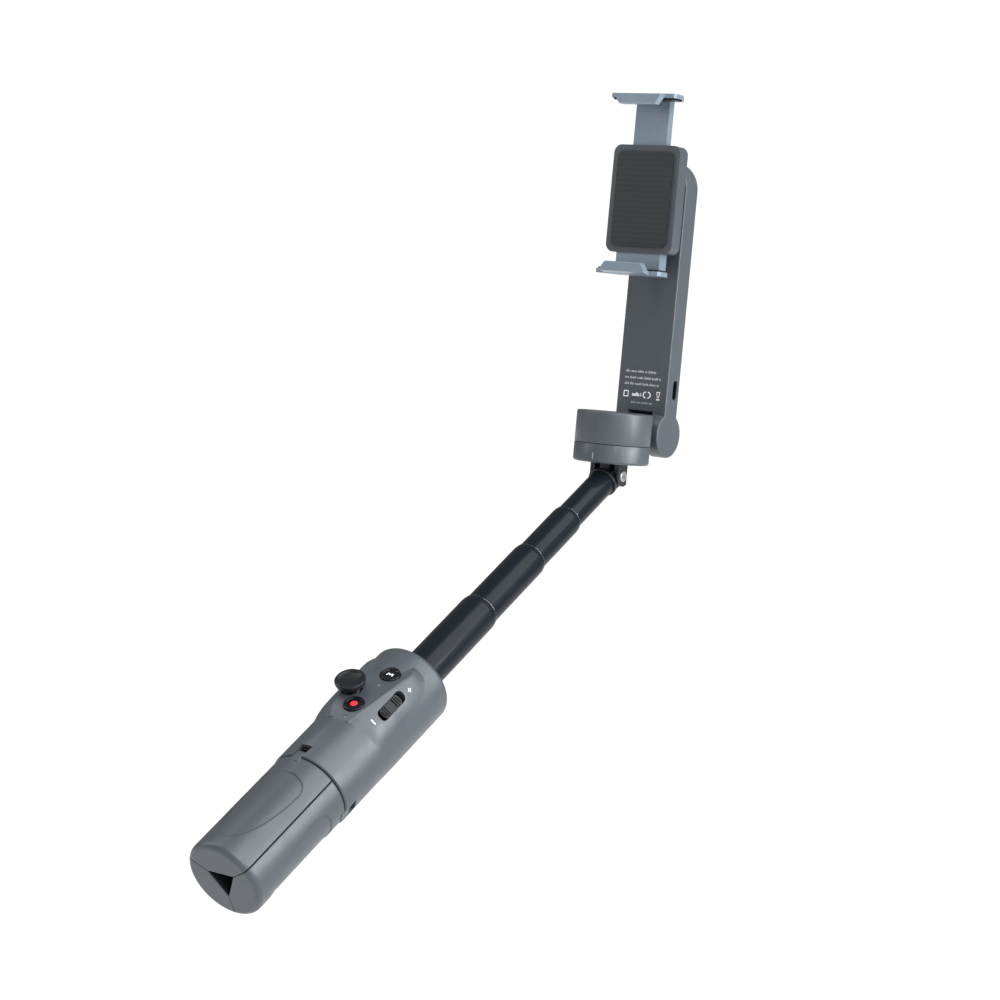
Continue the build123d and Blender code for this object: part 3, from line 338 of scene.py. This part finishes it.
# ---------------------------------------------------------------- printed marks
def decal(name, node, body, quads, o, eu, ev, n, material, step=0.0005, lift=0.00002):
    """Thin print laid on a CAD surface: each quad, in mm on the plane (eu, ev) at o, is gridded and dropped along -n onto the node."""
    src = nodes[node]
    tree = BVHTree.FromPolygons([src.matrix_world @ v.co for v in src.data.vertices], [tuple(p.vertices) for p in src.data.polygons])
    bm = bmesh.new()
    for q in quads:
        q = [Vector(c) * 0.001 for c in q]
        k = max(1, math.ceil(max((q[1] - q[0]).length, (q[2] - q[3]).length) / step))
        l = max(1, math.ceil(max((q[3] - q[0]).length, (q[2] - q[1]).length) / step))
        grid = []
        for j in range(l + 1):
            row = []
            for i in range(k + 1):
                c = (q[0].lerp(q[1], i / k)).lerp(q[3].lerp(q[2], i / k), j / l)
                p = o + eu * c.x + ev * c.y
                hit = tree.ray_cast(p + n * 0.006, -n, 0.02)[0]
                row.append(bm.verts.new((hit if hit is not None else p) + n * lift))
            grid.append(row)
        for j in range(l):
            for i in range(k):
                bm.faces.new((grid[j][i], grid[j][i + 1], grid[j + 1][i + 1], grid[j + 1][i]))
    bmesh.ops.recalc_face_normals(bm, faces=bm.faces)
    me = bpy.data.meshes.new(name)
    bm.to_mesh(me)
    bm.free()
    ob = bpy.data.objects.new(name, me)
    bpy.context.scene.collection.objects.link(ob)
    me.materials.append(material)
    sol = ob.modifiers.new("thickness", "SOLIDIFY")
    sol.thickness = 0.00003
    sol.offset = 0
    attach(ob, body)
    return ob


def bar(x0, y0, x1, y1):
    return ((x0, y0), (x1, y0), (x1, y1), (x0, y1))


def stroke(a, b, w):
    a, b = Vector(a), Vector(b)
    t = (b - a).normalized()
    m = Vector((-t.y, t.x)) * (w / 2)
    return (tuple(a - m), tuple(b - m), tuple(b + m), tuple(a + m))


def arc(cx, cy, r, a0, a1, w, parts=7):
    pts = [(cx + r * math.cos(math.radians(a0 + (a1 - a0) * i / parts)), cy + r * math.sin(math.radians(a0 + (a1 - a0) * i / parts))) for i in range(parts + 1)]
    return [stroke(pts[i], pts[i + 1], w) for i in range(parts)]


def dashes(x0, x1, y, height, seed, slant):
    """A line of unreadable print: short upright dashes of uneven width, grouped as words."""
    rnd = random.Random(seed)
    out, x, left = [], x0, rnd.randint(4, 8)
    while x < x1 - 0.3:
        w = rnd.uniform(0.22, 0.5)
        top = height * rnd.choice((0.62, 0.7, 0.7, 1.0))
        yy = y + slant * (x - x0)
        out.append(bar(x, yy - height / 2, x + w, yy - height / 2 + top))
        x += w + 0.16
        left -= 1
        if left == 0:
            x += 0.55
            left = rnd.randint(3, 8)
    return out


label = (dashes(-10.1, 7.2, 43.4, 1.15, 1, 0.0) + dashes(-10.1, 9.9, 40.4, 1.15, 2, 0.0) + dashes(-10.1, 8.7, 37.5, 1.15, 3, 0.0)
         + dashes(-5.6, 6.0, 28.75, 0.75, 4, 0.0))
signs = dashes(-5.5, -0.2, 32.5, 1.7, 5, 0.0)
signs += [bar(-10.2, 31.1, -9.8, 34.0), bar(-9.8, 33.6, -7.5, 34.0), bar(-9.8, 31.1, -7.5, 31.5), bar(-7.9, 31.5, -7.5, 33.6)]
signs += arc(2.1, 32.55, 1.4, 90, 270, 0.5) + arc(3.2, 32.55, 1.4, -90, 90, 0.5)
signs += [stroke((7.9, 34.3), (9.9, 34.3), 0.35), stroke((8.1, 34.2), (8.5, 31.8), 0.3), stroke((9.7, 34.2), (9.3, 31.8), 0.3), stroke((8.4, 31.8), (9.4, 31.8), 0.3), bar(8.0, 30.6, 9.8, 31.1)]
FRONT = HEAD + Vector((0, 0.022, 0))
decal("label_print", "arm_shell", "arm", label, FRONT, EX, Vector((0, 0, 1)), Vector((0, -1, 0)), PRINT, 0.01)
decal("label_signs", "arm_shell", "arm", signs, FRONT, EX, Vector((0, 0, 1)), Vector((0, -1, 0)), MARK, 0.01)

tick = math.radians(3.6)
tn = Vector((math.sin(tick), -math.cos(tick), 0))
decal("index_tick", "pan_base", "pan_stage", [bar(-0.14, 1.7, 0.14, 4.6)], HEAD + tn * 0.0176, Vector((math.cos(tick), math.sin(tick), 0)), Vector((0, 0, 1)), tn, PRINT)


def on_grip(phi, r, h):
    a = math.radians(phi)
    n = EX * math.sin(a) - V * math.cos(a)
    return n * (r * 0.001) + U * (h * 0.001), EX * math.cos(a) + V * math.sin(a), n


o, e, n = on_grip(51.2, 19.2, 38.7)
decal("zoom_plus", "grip_shell", "grip", [bar(-1.0, -0.2, 1.0, 0.2), bar(-0.2, 0.2, 0.2, 1.0), bar(-0.2, -1.0, 0.2, -0.2)], o, e, U, n, MARK)
o, e, n = on_grip(46.2, 19.0, 14.6)
decal("zoom_minus", "grip_shell", "grip", [bar(-1.2, -0.28, 1.2, 0.28)], o, e, U, n, MARK)

p8 = math.radians(8)
pe, pn = EX * math.cos(p8) + V * math.sin(p8), EX * math.sin(p8) - V * math.cos(p8)
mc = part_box("mode_button")
mid_mode = (mc[0] + mc[1]) / 2
tilt = 2 * 0.0024 * (40.2 - 14)
mn = (pn + U * tilt).normalized()
mu = (U - mn * U.dot(mn)).normalized()
decal("mode_sign", "mode_button", "mode_key", [stroke((-1.35, -0.85), (-1.0, 0.85), 0.5), stroke((-1.0, 0.85), (0, -0.25), 0.5), stroke((0, -0.25), (1.0, 0.85), 0.5), stroke((1.0, 0.85), (1.35, -0.85), 0.5)],
      mid_mode, pe, mu, mn, MARK)

# ---------------------------------------------------------------- stage and light
WORLD = 0.30
low = min(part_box(n)[0].z for n in nodes)
bpy.ops.mesh.primitive_plane_add(size=12, location=(0, 0, low - 0.35))
floor = bpy.context.object
floor.name = "floor"
fm, fnt, fb = mat("floor_white")
fb.inputs["Roughness"].default_value = 0.9
fnt.links.new(mix(fnt, noise(fnt, 3.0), (0.80, 0.80, 0.80), (0.84, 0.84, 0.84)), fb.inputs["Base Color"])
floor.data.materials.append(fm)

world = bpy.data.worlds.new("world")
bpy.context.scene.world = world
world.use_nodes = True
wt = world.node_tree
bg = wt.nodes["Background"]
bg.inputs[0].default_value = (1, 1, 1, 1)
lp = wt.nodes.new("ShaderNodeLightPath")
wt.links.new(ramp(wt, lp.outputs["Is Camera Ray"], 0, 1, WORLD, 1.05), bg.inputs[1])


def area(name, loc, target, size, power, size_y=None):
    d = bpy.data.lights.new(name, "AREA")
    d.energy = power
    d.size = size
    if size_y:
        d.shape = "RECTANGLE"
        d.size_y = size_y
    o = bpy.data.objects.new(name, d)
    bpy.context.scene.collection.objects.link(o)
    o.location = loc
    o.rotation_euler = (Vector(target) - Vector(loc)).to_track_quat("-Z", "Y").to_euler()
    return o


sun = bpy.data.lights.new("soft_key", "SUN")
sun.energy = 5.0
sun.angle = math.radians(75)
so = bpy.data.objects.new("soft_key", sun)
bpy.context.scene.collection.objects.link(so)
so.rotation_euler = Vector((-0.76, 0.15, -0.68)).to_track_quat("-Z", "Y").to_euler()
mid = (0, 0.12, 0.06)
area("strip_left", (-0.75, -0.35, 0.75), mid, 0.04, 5.0, 1.2)
area("arm_side", (0.55, 0.24, 0.20), (0.0, 0.21, 0.20), 0.30, 2.6)
area("strip_right", (0.75, -0.95, 0.75), mid, 0.04, 3.0, 1.2)

# ---------------------------------------------------------------- camera
A = Matrix(((1, 0, 0), (0, 0, 1), (0, -1, 0)))
rx, ry, rz = 0.0607, -0.6084, -0.0905
RX = Matrix.Rotation(rx, 3, "X")
RY = Matrix.Rotation(ry, 3, "Y")
RZ = Matrix.Rotation(rz, 3, "Z")
R = RZ @ RX @ RY
rot = (R @ A).transposed()
cam = bpy.data.cameras.new("camera")
cam.sensor_width = 36
cam.lens = 2423.325 * 36 / 1000
cam.clip_end = 50
co = bpy.data.objects.new("camera", cam)
bpy.context.scene.collection.objects.link(co)
t = Vector((0.051330, 0.017336, -1.126139))
loc = HEAD + rot @ (-t)
co.matrix_world = Matrix.Translation(loc) @ rot.to_4x4()
bpy.context.scene.camera = co
bpy.context.scene.view_settings.view_transform = "Standard"
